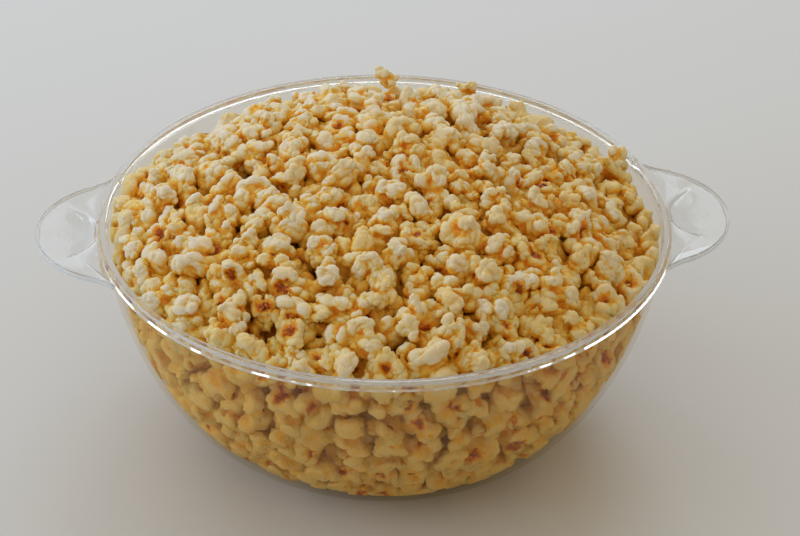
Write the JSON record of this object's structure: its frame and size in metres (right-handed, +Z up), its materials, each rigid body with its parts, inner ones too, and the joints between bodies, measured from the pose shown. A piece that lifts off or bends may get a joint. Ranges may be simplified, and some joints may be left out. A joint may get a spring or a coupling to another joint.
{
  "type": "bowl of popcorn",
  "caption": "Deep round clear plastic bowl with a banded rim and two flat tab handles, heaped with popped corn that domes above the rim.",
  "frame": {"origin": "middle of the bowl's base, on the surface it stands on", "axes": "+Z up through the middle of the bowl, +X out through the middle of one tab handle, +Y away from the pictured side"},
  "size_m": [0.4126, 0.341, 0.1835],
  "materials": {
    "clear_plastic": "clear, colourless, glossy",
    "popped_corn": "matt, soft and lumpy"
  },
  "bodies": {
    "root": {"bowl": "clear_plastic", "popcorn": "popped_corn"}
  },
  "joints": []
}
